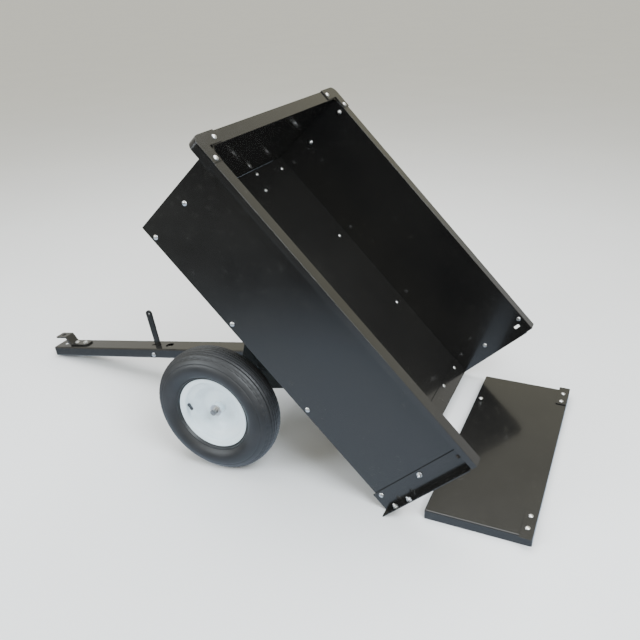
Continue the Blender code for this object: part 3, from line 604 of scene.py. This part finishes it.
def make_cotter(name):
    low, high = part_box(name + "_cotter_pin")
    centre = Vector((AXLE.x, (low.y + high.y) / 2, AXLE.z))
    turn = Matrix.Translation(centre) @ Matrix.Rotation(-NOSE_DOWN, 4, "Y")
    bm = bmesh.new()
    for leg in (-1, 1):
        path = [(-0.0172 + 0.0006 * leg, 0.0011 * leg, 0.0), (-0.0140, 0.0010 * leg, 0.0),
                (-0.0105, 0.0008 * leg, 0)]
        path += [(-0.004, 0.0008 * leg, 0.0), (0.004, 0.0008 * leg, 0.0), (0.0120, 0.0008 * leg, 0.0)]
        path += [(0.0150, 0.0008 * leg, 0.0026 * leg), (0.0178, 0.0004 * leg, 0.0042 * leg),
                 (0.0208, 0.0, 0.0040 * leg), (0.0229, 0.0, 0.0022 * leg), (0.0236, 0.0, 0.0)]
        add_wire(bm, [turn @ Vector(p) for p in path], 0.00075, 10)
    piece(name + "_cotter_detail", bm, "frame", "zinc", replaces=(name + "_cotter_pin",), smooth=50)


for name, hand in SIDES:
    make_cotter(name)


# Floor, light and camera

def make_floor():
    bm = bmesh.new()
    bmesh.ops.create_grid(bm, x_segments=2, y_segments=2, size=80)
    mesh = bpy.data.meshes.new("studio_floor")
    bm.to_mesh(mesh)
    bm.free()
    obj = bpy.data.objects.new("studio_floor", mesh)
    bpy.context.scene.collection.objects.link(obj)
    n = Nodes("studio_floor")
    tone = n.colours(n.noise(1.3, 3.0), [(0.3, (0.85, 0.86, 0.88)), (0.7, (0.87, 0.88, 0.90))])
    mesh.materials.append(n.set(Base_Color=tone, Roughness=0.9, Specular_IOR_Level=0.1))
    obj.visible_glossy = False


def area_light(name, place, target, size, power, colour=(1, 1, 1)):
    data = bpy.data.lights.new(name, "AREA")
    data.shape = "RECTANGLE"
    data.size, data.size_y = size
    data.energy = power
    data.color = colour
    obj = bpy.data.objects.new(name, data)
    obj.location = place
    obj.rotation_euler = (Vector(target) - Vector(place)).to_track_quat("-Z", "Y").to_euler()
    bpy.context.scene.collection.objects.link(obj)
    return obj


def make_world():
    """A warm soft sky, a dim band under the horizon, and below it a cool bounce for glossy surfaces only."""
    world = bpy.data.worlds.new("studio")
    bpy.context.scene.world = world
    world.use_nodes = True
    tree = world.node_tree
    background = tree.nodes["Background"]
    coords = tree.nodes.new("ShaderNodeTexCoord")
    split = tree.nodes.new("ShaderNodeSeparateXYZ")
    height = tree.nodes.new("ShaderNodeMapRange")
    height.inputs["From Min"].default_value = -1
    ramp = tree.nodes.new("ShaderNodeValToRGB")
    elements = ramp.color_ramp.elements
    stops = [(0.00, (1.05, 1.25, 1.50)), (0.26, (1.05, 1.25, 1.50)), (0.305, (0.10, 0.10, 0.09)),
             (0.470, (0.10, 0.10, 0.08)), (0.485, (0.84, 0.84, 0.84)), (0.58, (0.80, 0.79, 0.75)),
             (0.66, (0.78, 0.74, 0.54)), (1.00, (0.96, 0.95, 0.88))]
    while len(elements) < len(stops):
        elements.new(0.5)
    for element, (place, colour) in zip(elements, stops):
        element.position = place
        element.color = (*colour, 1)
    tree.links.new(coords.outputs["Generated"], split.inputs[0])
    tree.links.new(split.outputs["Z"], height.inputs["Value"])
    tree.links.new(height.outputs["Result"], ramp.inputs["Fac"])
    tree.links.new(ramp.outputs["Color"], background.inputs["Color"])
    background.inputs["Strength"].default_value = 0.95


def make_camera():
    yaw, pitch, roll, focal = -0.43509, 0.45019, 0.03016, 711.26
    place = Vector((AXLE.x + 1.07264, -1.93585, 1.38865))
    forward = Vector((math.sin(yaw) * math.cos(pitch), math.cos(yaw) * math.cos(pitch), -math.sin(pitch)))
    flat = Vector((math.cos(yaw), -math.sin(yaw), 0))
    down = forward.cross(flat)
    right = flat * math.cos(roll) + down * math.sin(roll)
    below = flat * -math.sin(roll) + down * math.cos(roll)
    data = bpy.data.cameras.new("camera")
    data.sensor_width = 36
    data.lens = focal * 36 / 640
    obj = bpy.data.objects.new("camera", data)
    obj.matrix_world = Matrix((right, -below, -forward)).transposed().to_4x4()
    obj.location = place
    bpy.context.scene.collection.objects.link(obj)
    bpy.context.scene.camera = obj


make_floor()
make_world()
make_camera()
area_light("key", (2.4, -1.6, 2.9), (0.4, -0.3, 0.2), (1.8, 1.8), 170, (0.88, 0.95, 1.0))
area_light("top", (-0.2, 0.6, 3.4), (0, 0, 0.4), (3.0, 3.0), 130, (0.96, 0.98, 1.0))
area_light("fill", (-2.2, -3.0, 2.0), (0, 0, 0.4), (1.8, 1.8), 105, (0.86, 0.94, 1.0))
